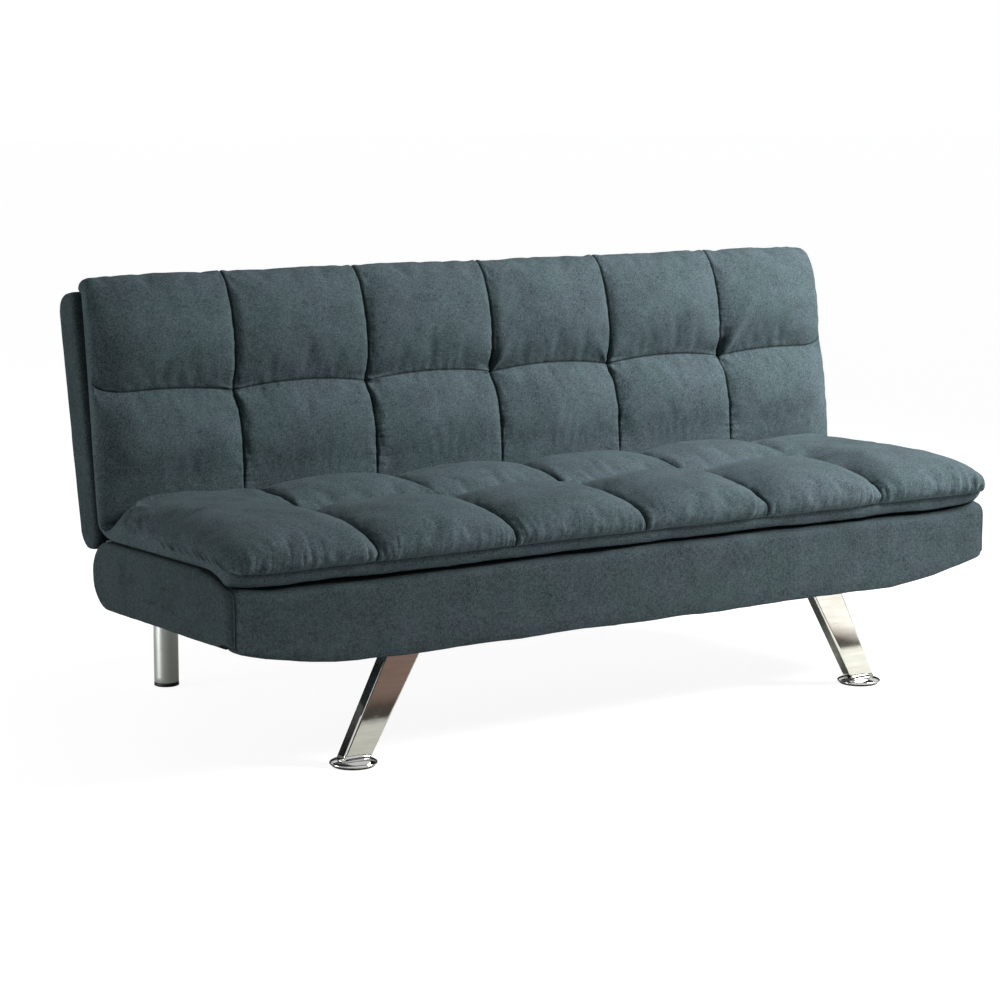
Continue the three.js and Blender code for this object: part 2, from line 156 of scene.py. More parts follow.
def cut(obj, boxes):
    """Takes boxes, each given by its lowest and highest corner, out of a closed mesh."""
    for low, high in boxes:
        bm = bmesh.new()
        bmesh.ops.create_cube(bm, size=1)
        mesh = bpy.data.meshes.new("cutter")
        for v in bm.verts:
            v.co = Vector([low[k] if v.co[k] < 0 else high[k] for k in range(3)])
        bm.to_mesh(mesh)
        bm.free()
        tool = bpy.data.objects.new("cutter", mesh)
        bpy.context.scene.collection.objects.link(tool)
        mod = obj.modifiers.new("cut", "BOOLEAN")
        mod.operation = "DIFFERENCE"
        mod.solver = "EXACT"
        mod.object = tool
        baked(obj)
        bpy.data.objects.remove(tool)
        bpy.data.meshes.remove(mesh)


def grid_faces(rows, cols, start=0, close=False):
    """Quads over a grid of points; close joins the last column to the first."""
    faces = []
    for i in range(rows - 1):
        for j in range(cols if close else cols - 1):
            k = (j + 1) % cols
            faces.append((start + i * cols + j, start + i * cols + k,
                          start + (i + 1) * cols + k, start + (i + 1) * cols + j))
    return faces


def points_of(obj, what="co"):
    values = np.empty(len(obj.data.vertices) * 3)
    obj.data.vertices.foreach_get(what, values)
    return values.reshape(-1, 3)


def move_along_normals(obj, amount):
    moved = points_of(obj) + points_of(obj, "normal") * amount[:, None]
    obj.data.vertices.foreach_set("co", moved.ravel())
    obj.data.update()


# ---- materials -----------------------------------------------------------------------------
class Nodes:
    """A material's node tree, built with short calls."""

    def __init__(self, name):
        self.material = bpy.data.materials.new(name)
        self.material.use_nodes = True
        self.tree = self.material.node_tree
        self.shader = self.tree.nodes["Principled BSDF"]
        self.place = self.tree.nodes.new("ShaderNodeTexCoord").outputs["Object"]

    def feed(self, socket, value):
        """Links or sets an input; a colour of three numbers is made opaque."""
        if isinstance(value, bpy.types.NodeSocket):
            self.tree.links.new(value, socket)
        else:
            opaque = socket.type == "RGBA" and len(value) == 3
            socket.default_value = (*value, 1.0) if opaque else value

    def add(self, kind, inputs=(), **settings):
        node = self.tree.nodes.new(kind)
        for key, value in settings.items():
            setattr(node, key, value)
        for key, value in dict(inputs).items():
            self.feed(node.inputs[key], value)
        return node

    def scaled(self, scale):
        return self.add("ShaderNodeMapping", {"Vector": self.place, "Scale": scale}).outputs[0]

    def noise(self, vector, scale, detail=2.0, rough=0.5):
        node = self.add("ShaderNodeTexNoise", {"Vector": vector, "Scale": scale, "Detail": detail,
                                               "Roughness": rough})
        return node.outputs[0]

    def maths(self, operation, a, b=0.0, c=0.0):
        return self.add("ShaderNodeMath", {0: a, 1: b, 2: c}, operation=operation).outputs[0]

    def mixed(self, *parts):
        """The sum of the parts, each a value and its share."""
        total, *rest = [self.maths("MULTIPLY", value, share) for value, share in parts]
        for term in rest:
            total = self.maths("ADD", total, term)
        return total

    def ramp(self, value, stops):
        node = self.add("ShaderNodeValToRGB", {0: value})
        elements = node.color_ramp.elements
        while len(elements) < len(stops):
            elements.new(0.5)
        for element, (position, color) in zip(elements, stops):
            element.position = position
            element.color = (*color, 1.0)
        return node.outputs[0]

    def blend(self, factor, a, b, mode="MIX"):
        inputs = {0: factor, 6: a, 7: b}
        return self.add("ShaderNodeMix", inputs, data_type="RGBA", blend_type=mode).outputs[2]

    def bump(self, height, distance, strength=1.0, normal=None):
        inputs = {"Height": height, "Distance": distance, "Strength": strength}
        if normal:
            inputs["Normal"] = normal
        return self.add("ShaderNodeBump", inputs).outputs[0]

    def attribute(self, name):
        return self.add("ShaderNodeAttribute", attribute_name=name).outputs[2]

    def gathers(self):
        """Short sharp folds square to the seams, where the cloth's attributes ask for them."""
        u, v = self.attribute("u"), self.attribute("v")
        normal = None
        for name, across, along in (("gather", 0.042, 0.012), ("tuck", 0.011, 0.06)):
            cloth = self.add("ShaderNodeCombineXYZ", {0: self.maths("MULTIPLY", u, across),
                                                      1: self.maths("MULTIPLY", v, along)})
            waves = self.noise(cloth.outputs[0], 1.0, 1.0, 0.5)
            folds = self.maths("ABSOLUTE", self.maths("SUBTRACT", waves, 0.5))
            height = self.maths("MULTIPLY", folds, self.attribute(name))
            normal = self.bump(height, 0.012, 1.0, normal)
        return normal

    def surface(self, **values):
        names = {"color": "Base Color", "rough": "Roughness", "metal": "Metallic", "normal": "Normal",
                 "sheen": "Sheen Weight", "sheen_rough": "Sheen Roughness", "specular": "Specular IOR Level",
                 "coat": "Coat Weight", "coat_rough": "Coat Roughness", "tint": "Sheen Tint"}
        for key, value in values.items():
            self.feed(self.shader.inputs[names[key]], value)
        return self.material


def linen(name, dark, light):
    """Plain-woven upholstery cloth: fine slubby threads both ways, heathered, with a fine relief, and
    painted shade darkening it along its seams.
    """
    n = Nodes(name)
    thread = 0.0011                    # metres from one thread to the next
    run, pick = 120.0, 520.0           # slubs to the metre, along a thread and across the threads
    weft = n.noise(n.scaled((run, pick, pick)), 1.0, 2.0, 0.6)
    warp = n.noise(n.scaled((pick, run * 1.3, run * 1.3)), 1.0, 2.0, 0.6)
    slub = n.mixed((weft, 0.5), (warp, 0.5))
    fleck = n.noise(n.place, 340.0, 2.0, 0.6)
    cloud = n.noise(n.place, 16.0, 4.0, 0.6)
    tone = n.mixed((slub, 0.40), (fleck, 0.42), (cloud, 0.18))
    middle = tuple((a + b) / 2 for a, b in zip(dark, light))
    color = n.ramp(tone, [(0.38, dark), (0.50, middle), (0.62, light)])
    patch = n.noise(n.place, 11.0, 3.0, 0.6)
    shade = n.ramp(patch, [(0.38, (0.93, 0.975, 0.95)), (0.62, (0.99, 0.96, 1.0))])
    color = n.blend(1.0, color, shade, "MULTIPLY")
    # Painted shade: along the seam lines the mesh marks, the colour is darkened nearly to black. This stands
    # in for the shadow in the seam grooves as well as the stitching.
    sewn = n.attribute("stitch_and_seam_shade")
    color = n.blend(n.maths("MULTIPLY", sewn, 0.85), color, tuple(c * 0.2 for c in dark))
    turns = 2 * math.pi / thread
    axes = n.add("ShaderNodeSeparateXYZ", {0: n.place})
    across, along, up = [n.maths("SINE", n.maths("MULTIPLY", axis, turns)) for axis in axes.outputs]
    weave = n.mixed((across, along), (across, up))
    relief = n.mixed((weave, 0.25), (slub, 1.4))
    normal = n.bump(relief, 0.0005, 0.6, n.gathers())
    rumple = n.noise(n.place, 34.0, 4.0, 0.55)
    normal = n.bump(rumple, 0.003, 0.45, normal)
    return n.surface(color=color, rough=0.95, normal=normal, sheen=0.05, sheen_rough=0.4, specular=0.12,
                     tint=(0.62, 0.72, 0.76))


def lining():
    n = Nodes("black_lining")
    fibre = n.noise(n.place, 900.0, 4.0, 0.8)
    dimple = n.add("ShaderNodeTexVoronoi", {"Vector": n.place, "Scale": 420.0}).outputs[0]
    color = n.ramp(fibre, [(0.3, (0.010, 0.011, 0.012)), (0.7, (0.035, 0.037, 0.040))])
    return n.surface(color=color, rough=0.85, normal=n.bump(dimple, 0.0004, 0.5), specular=0.25)


def open_foam():
    n = Nodes("foam_core")
    cell = n.add("ShaderNodeTexVoronoi", {"Vector": n.place, "Scale": 500.0}).outputs[0]
    tone = n.noise(n.place, 14.0, 4.0, 0.6)
    color = n.ramp(tone, [(0.35, (0.62, 0.55, 0.38)), (0.65, (0.74, 0.68, 0.50))])
    return n.surface(color=color, rough=0.95, normal=n.bump(cell, 0.0012, 0.6), specular=0.15)


def strap():
    n = Nodes("webbing_strap")
    rib = n.add("ShaderNodeTexWave", {"Vector": n.place, "Scale": 260.0, "Distortion": 0.6},
                bands_direction="Z").outputs[1]
    color = n.ramp(rib, [(0.2, (0.02, 0.02, 0.02)), (0.8, (0.07, 0.07, 0.065))])
    return n.surface(color=color, rough=0.8, normal=n.bump(rib, 0.0005, 0.7))


def timber():
    n = Nodes("pine_timber")
    grain = n.scaled((2.2, 34.0, 34.0))
    ring = n.add("ShaderNodeTexWave", {"Vector": grain, "Scale": 0.9, "Distortion": 5.5, "Detail": 3.0,
                                       "Detail Scale": 1.2}, wave_type="RINGS").outputs[1]
    pore = n.noise(n.scaled((22.0, 520.0, 520.0)), 1.0, 3.0, 0.7)
    mix = n.mixed((ring, 0.65), (pore, 0.35))
    color = n.ramp(mix, [(0.2, (0.36, 0.21, 0.10)), (0.55, (0.55, 0.36, 0.19)), (0.85, (0.66, 0.47, 0.27))])
    return n.surface(color=color, rough=0.62, normal=n.bump(pore, 0.0003, 0.5))


def chrome():
    n = Nodes("chrome_plate")
    haze = n.noise(n.place, 60.0, 3.0, 0.6)
    smear = n.noise(n.scaled((14.0, 14.0, 90.0)), 1.0, 3.0, 0.6)
    rough = n.add("ShaderNodeMapRange", {0: haze, 1: 0.3, 2: 0.8, 3: 0.035, 4: 0.10}).outputs[0]
    color = n.ramp(smear, [(0.3, (0.66, 0.65, 0.63)), (0.7, (0.80, 0.80, 0.79))])
    return n.surface(color=color, metal=1.0, rough=rough, normal=n.bump(haze, 0.0004, 0.08))


def silver_paint():
    n = Nodes("silver_paint")
    flake = n.add("ShaderNodeTexVoronoi", {"Vector": n.place, "Scale": 1500.0}).outputs[1]
    tone = n.noise(n.place, 30.0, 3.0, 0.5)
    sparkle = n.add("ShaderNodeSeparateColor", {0: flake}).outputs[0]
    mix = n.mixed((sparkle, 0.5), (tone, 0.5))
    color = n.ramp(mix, [(0.25, (0.72, 0.76, 0.73)), (0.75, (0.88, 0.92, 0.88))])
    orange_peel = n.noise(n.place, 420.0, 2.0, 0.5)
    return n.surface(color=color, metal=0.75, rough=0.38, coat=0.3, coat_rough=0.2,
                     normal=n.bump(orange_peel, 0.0002, 0.25))


def zinc(name="zinc_plate", dark=(0.36, 0.37, 0.39), light=(0.58, 0.58, 0.57), rough=0.36):
    n = Nodes(name)
    spangle = n.add("ShaderNodeTexVoronoi", {"Vector": n.place, "Scale": 90.0}).outputs[1]
    cell = n.add("ShaderNodeSeparateColor", {0: spangle}).outputs[0]
    brushed = n.noise(n.scaled((40.0, 40.0, 900.0)), 1.0, 3.0, 0.7)
    mix = n.mixed((cell, 0.4), (brushed, 0.6))
    return n.surface(color=n.ramp(mix, [(0.2, dark), (0.8, light)]), metal=1.0, rough=rough,
                     normal=n.bump(brushed, 0.0002, 0.3))


def moulded(name, dark, light, rough):
    n = Nodes(name)
    grain = n.noise(n.place, 700.0, 3.0, 0.6)
    scuff = n.noise(n.scaled((60.0, 60.0, 240.0)), 1.0, 3.0, 0.7)
    color = n.ramp(scuff, [(0.4, dark), (0.8, light)])
    return n.surface(color=color, rough=rough, normal=n.bump(grain, 0.0003, 0.5))


def pale_floor():
    """White studio paper, lifted a little where it is looked at directly. Polished metal mirrors a
    brown floor past the paper's front edge."""
    n = Nodes("studio_floor")
    tone = n.noise(n.place, 1.5, 2.0, 0.5)
    paper = n.ramp(tone, [(0.3, (0.80, 0.80, 0.80)), (0.7, (0.82, 0.82, 0.82))])
    axes = n.add("ShaderNodeSeparateXYZ", {0: n.place})
    grain = n.noise(n.scaled((1.5, 30.0, 1.0)), 1.0, 3.0, 0.6)
    ahead = n.mixed((axes.outputs[1], -0.5), (grain, 0.03))
    boards = n.ramp(ahead, [(0.34, (0.62, 0.62, 0.55)), (0.36, (0.03, 0.026, 0.018)),
                            (0.40, (0.05, 0.036, 0.026)), (0.45, (0.17, 0.11, 0.085))])
    aside = n.add("ShaderNodeMapRange", {0: axes.outputs[0], 1: 0.88, 2: 1.02}).outputs[0]
    behind = n.add("ShaderNodeMapRange", {0: axes.outputs[0], 1: -0.62, 2: -0.70}).outputs[0]
    boards = n.blend(n.maths("MAXIMUM", aside, behind), boards, (0.66, 0.64, 0.58))
    path = n.add("ShaderNodeLightPath")
    color = n.blend(path.outputs["Is Camera Ray"], paper, (0.30, 0.30, 0.30))
    n.surface(color=n.blend(path.outputs["Is Glossy Ray"], color, boards), rough=0.9, specular=0.1)
    glow = n.add("ShaderNodeEmission", {"Color": (1, 1, 1, 1), "Strength": 0.90})
    dark = n.add("ShaderNodeEmission", {"Strength": 0.0})
    lift = n.add("ShaderNodeMixShader", {0: path.outputs["Is Camera Ray"], 1: dark.outputs[0],
                                         2: glow.outputs[0]})
    both = n.add("ShaderNodeAddShader", {0: n.shader.outputs[0], 1: lift.outputs[0]})
    n.tree.links.new(both.outputs[0], n.tree.nodes["Material Output"].inputs[0])
    return n.material


MATERIALS = {
    "pad_fabric": linen("slate_linen", (0.026, 0.038, 0.042), (0.094, 0.130, 0.142)),
    # Painted shade: the boxes get the topper's linen darkened to about seven tenths, so their faces read as
    # lying in shade.
    "cover_fabric": linen("slate_linen_shaded_for_box", (0.018, 0.027, 0.030), (0.065, 0.089, 0.096)),
    "lining": lining(),
    "foam": open_foam(),
    "webbing": strap(),
    "timber": timber(),
    "chrome": chrome(),
    "silver_paint": silver_paint(),
    "zinc_steel": zinc(),
    "spring_steel": zinc("spring_wire", (0.10, 0.10, 0.11), (0.24, 0.24, 0.25), 0.42),
    "black_plastic": moulded("black_plastic", (0.012, 0.012, 0.013), (0.03, 0.03, 0.03), 0.45),
    "rubber": moulded("grey_rubber", (0.016, 0.016, 0.016), (0.05, 0.05, 0.048), 0.8),
}


def finished(obj, slot, body=None):
    """Gives a new piece the material of its slot and, when a body is given, attaches it to that body."""
    obj.data.materials.clear()
    obj.data.materials.append(MATERIALS[slot])
    if body:
        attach(obj, body)


def dress_cad_nodes():
    """Each CAD node that stays gets the procedural material of its slot in the record."""
    slots = {part["node"]: part["material_slot"] for part in frame["record"]["subparts"]}
    for name, node in frame["nodes"].items():
        material = MATERIALS[slots[name]]
        if not node.material_slots:
            node.data.materials.append(material)
        for holder in node.material_slots:
            holder.material = material


# ---- topper --------------------------------------------------------------------------------
# Cross-sections of the topper from the welt at the front edge, over the seat, down into the fold and
# up the back, in mm. SEAM runs along the column seams, CROWN along the middle of the pillows, END
# along the seat's end pillows, SIDE along its side edge and UNDER along the under side. SEAT lists are
# (y, z); BACK lists are (up the back, out of it), for from_back.
SEAT_SEAM = [(2, 379), (-3, 386), (-4, 396), (9, 408), (42, 419.5), (92, 429), (150, 434.5),
             (208, 435), (252, 431), (282, 445), (325, 452), (378, 454), (420, 451), (440, 445),
             (450, 434), (455.5, 420), (462, 404), (470, 398)]
SEAT_CROWN = [(2, 379), (-14, 388), (-22, 407.5), (-12, 432), (28, 450.5), (88, 460), (150, 462),
              (210, 456), (252, 442), (284, 457), (330, 470), (380, 474), (420, 473), (441, 466),
              (451.5, 450), (457, 427), (462, 404), (470, 398)]
SEAT_END = [(2, 379), (-13, 387.5), (-21, 405), (-11, 428), (30, 446), (90, 456), (150, 460),
            (210, 461), (252, 460), (288, 459), (330, 458.5), (380, 458), (420, 456.5), (441, 452),
            (451.5, 441), (457, 424), (462, 404), (470, 398)]
SEAT_SIDE = [(-10, 391.5), (-12, 391.7), (-11, 392), (-5, 392.5), (6, 394), (20, 396), (40, 398),
             (70, 400), (110, 402), (160, 403), (210, 403), (260, 402.5), (320, 402), (380, 401),
             (420, 400.5), (440, 400), (455, 399), (470, 398)]
BACK_SEAM = [(52, 60), (63, 68), (78, 73), (100, 77), (135, 82), (190, 87), (245, 82), (285, 64.5),
             (325, 82), (380, 89), (435, 87), (478, 78), (505, 65), (515, 52), (512, 38)]
BACK_CROWN = [(52, 60), (62, 69), (76, 76), (97, 82), (135, 91), (190, 101), (245, 95), (285, 77),
              (325, 94), (380, 103), (435, 99), (480, 86), (507, 69), (518, 53), (512.5, 38)]
SEAT_UNDER = [(2, 379), (1.5, 372), (4.5, 364), (9, 358), (16, 355), (26, 358), (37, 364.5),
              (50, 371.5), (80, 379.8), (122, 381.5), (200, 381.5), (280, 381.5), (360, 381.5),
              (420, 381.5), (452, 381.8), (468, 384), (480, 389), (490, 395)]
BACK_UNDER = [(46, 41), (56, 37), (80, 34.8), (120, 34.5), (170, 34.5), (220, 34.5), (270, 34.5),
              (320, 34.5), (370, 34.5), (420, 34.5), (450, 34.5), (475, 34.5), (492, 35), (504, 35.5),
              (512, 38)]
SEAT_ROW, BACK_ROW = 8, 25             # which of those points lie on a cross seam
FOLD_START, FOLD_END = 13, 21          # and which lie in the fold


def pillow_lines():
    """Grid lines across the length, closer together at the seams."""
    edges = [-SEAT_HALF, *SEAMS, SEAT_HALF]
    near = [0.0, 1.8, 4.0, 7.0, 11.0, 16.5]
    xs = []
    for low, high in zip(edges, edges[1:]):
        middle = np.linspace(24, high - low - 24, 28)
        xs += [low + d for d in near] + [low + m for m in middle] + [high - d for d in near[:0:-1]]
    return np.array(xs + [SEAT_HALF])


def path_stations(last):
    """Places along the cross-sections, counted in their points, closer together at the cross seams."""
    at = set(np.round(np.arange(0, last + 0.001, 0.25), 3))
    for seam in (SEAT_ROW, BACK_ROW):
        at = {v for v in at if abs(v - seam) > 0.4}
        at |= {round(seam + d, 3) for d in (-0.32, -0.2, -0.11, -0.05, 0, 0.05, 0.11, 0.2, 0.32)}
    return np.array(sorted(at))


def across_pillow(x):
    """0 at a column seam to 1 at the middle of a pillow, for grid lines x."""
    edges = np.array([-SEAT_HALF, *SEAMS, SEAT_HALF])
    last = len(SEAMS)
    cell = np.clip(np.searchsorted(edges, x, side="right") - 1, 0, last)
    low, high = edges[cell], edges[cell + 1]
    low = np.where(cell == 0, low - (high - low) * 0.10, low)
    high = np.where(cell == last, high + (high - low) * 0.10, high)
    ksi = np.abs((x - low) / (high - low) * 2 - 1)
    return (1 - np.clip(ksi, 0, 1) ** 2.0) ** 0.64


def seam_distance(x):
    """Distance from the nearest column seam."""
    return np.min(np.abs(x[:, None] - np.array(SEAMS)[None, :]), 1)


def side_lift(stations):
    """How far the side seam stands off the box at each station."""
    return np.interp(stations, [0, 2, 6, 12, 15, 17, 19, 22, 24, 27, 30, 32],
                     [0, 4, 8, 8, 10, 12, 10, 18, 27, 32, 26, 0])


def domed(inward, width, power=2.2):
    """0 at the side edge to 1 at width mm inward of it, steep at first."""
    return (1 - np.clip(1 - inward / width, 0, 1) ** power) ** 0.5


def build_topper():
    """The upper and the under sheet as grids of points, with the grid's x, its stations and the run
    of the cloth along it."""
    xs = pillow_lines()
    seam_points = SEAT_SEAM + [from_back(*p) for p in BACK_SEAM]
    stations = path_stations(len(seam_points) - 1)
    back_crown, back_under = [[from_back(*p) for p in q] for q in (BACK_CROWN, BACK_UNDER)]
    seam = sampled(seam_points, stations)
    crown = sampled(SEAT_CROWN + back_crown, stations)
    end = sampled(SEAT_END + back_crown, stations)
    under = sampled(SEAT_UNDER + back_under, stations)
    side_path = sampled(SEAT_SIDE + back_under, stations)
    rows, cols = len(stations), len(xs)
    half = SEAT_HALF + (BACK_HALF - SEAT_HALF) * ramp(stations, 19, 30)
    lift, on_back = side_lift(stations), ramp(stations, 14, 18)
    side = np.abs(xs)
    puff, inward = across_pillow(xs), SEAT_HALF - side
    seat_dome, back_dome, tuck = domed(inward, 105.0), domed(inward, 88.0), domed(inward, 12.0, 2)
    past_last_seam = ramp(side - SEAMS[-1], 10, 75)[:, None]
    top, low = np.zeros((rows, cols, 3)), np.zeros((rows, cols, 3))
    bow = np.exp(-((stations - BACK_ROW) / 1.6) ** 2) * 11.0
    up_back = np.array([math.cos(LEAN), math.sin(LEAN)])
    line = np.stack([xs, np.zeros(cols), np.zeros(cols)], 1)
    wave = noise_at(line, 0.009, 31) * 4.0 + noise_at(line, 0.03, 32) * 1.6
    for i, station in enumerate(stations):
        edge = side_seam(i, under, lift[i])
        edge = side_path[i] + (edge - side_path[i]) * on_back[i]
        path = seam[i] + (crown[i] - seam[i]) * puff[:, None] + up_back * bow[i] * puff[:, None] ** 1.5
        if station < FOLD_START:
            path += (end[i] - path) * past_last_seam
        dome = seat_dome + (back_dome - seat_dome) * ramp(station, FOLD_START, FOLD_END)
        tucked = seat_dome + (tuck - seat_dome) * ramp(station, 0, 6)
        corner = corner_recede(side, 34.0) * (1 - ramp(station, 3.0, 7.0))
        crest = corner_recede(side, 22.0) * ramp(station, 27.5, 31.0)
        for sheet, shape in ((top, edge + (path - edge) * dome[:, None]),
                             (low, edge + (under[i] - edge) * tucked[:, None])):
            sheet[i, :, 0] = xs * half[i] / SEAT_HALF
            sheet[i, :, 1:] = shape - up_back * crest[:, None]
            sheet[i, :, 1] += corner
        if 0 < station < 6:
            low[i, :, 2] += wave * (1 - abs(station - 3) / 3)
    return xs, stations, arc_length(seam), top, low


def side_seam(i, under, lift):
    """The side seam at row i, lift mm off the under side."""
    before, after = under[max(i - 1, 0)], under[min(i + 1, len(under) - 1)]
    along = (after - before) / max(np.linalg.norm(after - before), 1e-9)
    return under[i] + np.array([-along[1], along[0]]) * lift


def corner_recede(side, r):
    """How far a corner of radius r draws the topper's edge back at x = side."""
    over = np.clip(side - (SEAT_HALF - r), 0, r)
    return r - np.sqrt(r * r - over * over)


def put_attribute(obj, name, values):
    attribute = obj.data.attributes.new(name, "FLOAT", "POINT")
    attribute.data.foreach_set("value", np.asarray(values, np.float32))


def get_attribute(obj, name):
    values = np.empty(len(obj.data.vertices), np.float32)
    obj.data.attributes[name].data.foreach_get("value", values)
    return values.astype(float)


def inflate(obj, held, pressure, cap, slack, frames=20):
    """Puffs the mesh up with Blender's cloth and air pressure. held is 1 where it is sewn down, slack
    is the share by which the cloth is cut large, and no point moves further than cap."""
    group = obj.vertex_groups.new(name="sewn")
    for i, weight in enumerate(held):
        group.add([i], float(weight), "REPLACE")
    rest = points_of(obj)
    mod = obj.modifiers.new("cloth", "CLOTH")
    cloth = mod.settings
    cloth.quality = 6
    cloth.mass = 0.3
    cloth.tension_stiffness = cloth.compression_stiffness = 18
    cloth.shear_stiffness = 8
    cloth.bending_stiffness = 0.4
    cloth.tension_damping = cloth.compression_damping = 12
    cloth.use_pressure = True
    cloth.uniform_pressure_force = pressure
    cloth.vertex_group_mass = "sewn"
    cloth.shrink_min = -slack
    cloth.effector_weights.gravity = 0
    mod.collision_settings.use_collision = False
    mod.point_cache.frame_end = frames
    scene = bpy.context.scene
    for number in range(1, frames + 1):
        scene.frame_set(number)
    evaluated = obj.evaluated_get(bpy.context.evaluated_depsgraph_get())
    moved = np.empty(len(rest) * 3)
    evaluated.data.vertices.foreach_get("co", moved)
    shift = moved.reshape(-1, 3) - rest
    length = np.maximum(np.linalg.norm(shift, axis=1), 1e-9)
    shift *= (cap * np.tanh(length / cap) / length)[:, None]
    obj.modifiers.remove(mod)
    obj.vertex_groups.clear()
    scene.frame_set(1)
    obj.data.vertices.foreach_set("co", (rest + shift).ravel())
    obj.data.update()


def make_topper():
    xs, stations, run, top, low = build_topper()
    rows, cols = top.shape[:2]
    points = [place(*p) for p in np.concatenate([top.reshape(-1, 3), low.reshape(-1, 3)])]
    faces = grid_faces(rows, cols) + [f[::-1] for f in grid_faces(rows, cols, rows * cols)]
    topper = mesh_object("quilted_topper", points, faces)
    flat_u = np.tile(xs, rows)
    flat_v = np.repeat(run, cols)
    put_attribute(topper, "u", np.concatenate([flat_u, flat_u]))
    put_attribute(topper, "v", np.concatenate([flat_v, flat_v]))
    on_top = np.concatenate([np.ones(rows * cols), np.zeros(rows * cols)])
    put_attribute(topper, "upper", on_top)
    outward(topper)
    marks = {name: float(np.interp(station, stations, run)) for name, station in (
        ("seat_row", SEAT_ROW), ("fold_start", FOLD_START), ("fold_end", FOLD_END),
        ("back_row", BACK_ROW), ("end", stations[-1]))}
    inflate(topper, held_down(topper, marks), pressure=6.0, cap=0.007, slack=0.02)
    subdivided(topper)
    sew(topper, marks)
    finished(topper, "pad_fabric")
    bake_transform(topper)
    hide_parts("seat_pad", "back_pad")


def held_down(topper, marks):
    """1 along the seams, in the fold and all over the under side."""
    u, v = get_attribute(topper, "u"), get_attribute(topper, "v")
    upper = get_attribute(topper, "upper")
    near = np.minimum.reduce([seam_distance(u), row_distance(u, v, marks, 200), v * 0.6,
                              marks["end"] - v, SEAT_HALF - np.abs(u)])
    held = bell(near, 7.0)
    low_back = 1 - ramp(v, marks["fold_end"], marks["fold_end"] + 70)
    held = np.where(v > marks["fold_start"], np.maximum(held, low_back), held)
    return np.where(upper < 0.99, 1.0, held)


def row_distance(u, v, marks, clear):
    """Distance from the cross seams. The seat's stops short in its long end pillows, by clear mm."""
    open_end = clear * ramp(np.abs(u), SEAMS[-1] + 18, SEAMS[-1] + 60)
    return np.minimum(np.abs(v - marks["seat_row"]) + open_end, np.abs(v - marks["back_row"]))


def bell(distance, width, power=2):
    """1 at distance 0, falling away over width."""
    return np.exp(-(distance / width) ** power)


def cloth_noise(u, v, across, along, scale, seed):
    """Smooth noise on the flat cloth, drawn out by across and along."""
    return noise_at(np.stack([u * across, v * along, np.zeros(len(u))], 1), scale, seed)


def folds_at(u, v, centre, angles, reach, depth, width):
    """Soft folds that run out from a point, one at each angle."""
    du, dv = u - centre[0], v - centre[1]
    r = np.hypot(du, dv) + 1e-6
    turn = np.arctan2(dv, du)
    out = np.zeros(len(u))
    for angle in angles:
        off = np.abs((turn - angle + math.pi) % (2 * math.pi) - math.pi) * r
        out += bell(off, width + 0.10 * r)
    return out * depth * bell(r, reach) * ramp(r, 3, 14)


def drag_folds(u, v, marks):
    """Small folds round every seam crossing, and long ones up from two crossings of the back."""
    fold = np.zeros(len(u))
    turns = np.random.default_rng(7)
    for x in SEAMS:
        for mark in ("seat_row", "back_row"):
            angles = turns.uniform(0, 2 * math.pi, 5)
            fold += folds_at(u, v, (x, marks[mark]), angles, 60.0, 3.2, 3.4)
    for x, angle, reach, depth in ((SEAMS[-1], 56, 130.0, 13.0), (SEAMS[-1], 80, 100.0, -6.0),
                                   (SEAMS[2], 62, 75.0, 9.0), (SEAMS[2], 86, 60.0, -4.0)):
        fold += folds_at(u, v, (x, marks["back_row"]), (math.radians(angle),), reach, depth, 4.5)
    return fold


def seam_fields(topper, marks):
    """The cloth's u and v, and for each point: whether it is on the upper sheet, its distance from the
    column and cross seams, whether it is in the fold, and how strongly the front welt gathers it."""
    u, v = get_attribute(topper, "u"), get_attribute(topper, "v")
    upper = ramp(get_attribute(topper, "upper"), 0.5, 0.95)
    column, row = seam_distance(u), row_distance(u, v, marks, 60)
    in_fold = ramp(v, marks["fold_start"] - 10, marks["fold_start"] + 5) * (
        1 - ramp(v, marks["fold_end"] - 5, marks["fold_end"] + 10))
    beside_seam = 0.8 * (1 - ramp(column, 15, 70))
    strength = 0.28 + 0.72 * np.maximum(ramp(np.abs(u), 700, 830), beside_seam)
    return u, v, upper, column, row, in_fold, strength


def sew(topper, marks):
    """Presses the seams into the padding and gathers the cloth beside them."""
    u, v, upper, column, row, in_fold, strength = seam_fields(topper, marks)
    groove = bell(column, 2.3, 1.2) * 3.0 + bell(row, 2.3, 1.2) * 3.0
    groove *= ramp(v, 0, 12) * (1 - in_fold * 0.5)
    pleat = cloth_noise(u, v, 1, 0.22, 0.085, 4) + 0.5 * cloth_noise(u, v, 1, 0.25, 0.16, 9)
    gathers = np.maximum(pleat, -0.12) * 8.5 * bell(v, 44.0, 1.8) * ramp(v, 1, 7) * strength
    puckers = cloth_noise(u, v, 0.25, 1, 0.07, 2) * bell(column, 18.0, 1.4) * 1.5
    puckers += cloth_noise(u, v, 1, 0.25, 0.07, 6) * bell(row, 18.0, 1.4) * 1.5
    swell = cloth_noise(u, v, 1, 1, 0.011, 5) * 2.2 + cloth_noise(u, v, 1, 1, 0.026, 12) * 1.0
    swell *= ramp(np.minimum(column, row), 5, 40)
    # the cloth bunches where the fold runs out at each side
    bunch = np.abs(cloth_noise(u, v, 1, 0.6, 0.045, 8)) * 8.0
    bunch *= ramp(np.abs(u), 800, 880) * bell(v - marks["fold_start"] + 40, 45.0)
    amount = (gathers + puckers + drag_folds(u, v, marks) + swell + bunch - groove) * upper
    move_along_normals(topper, amount * ramp(SEAT_HALF - np.abs(u), 0, 10) * MM)
    mark_cloth(topper, marks)


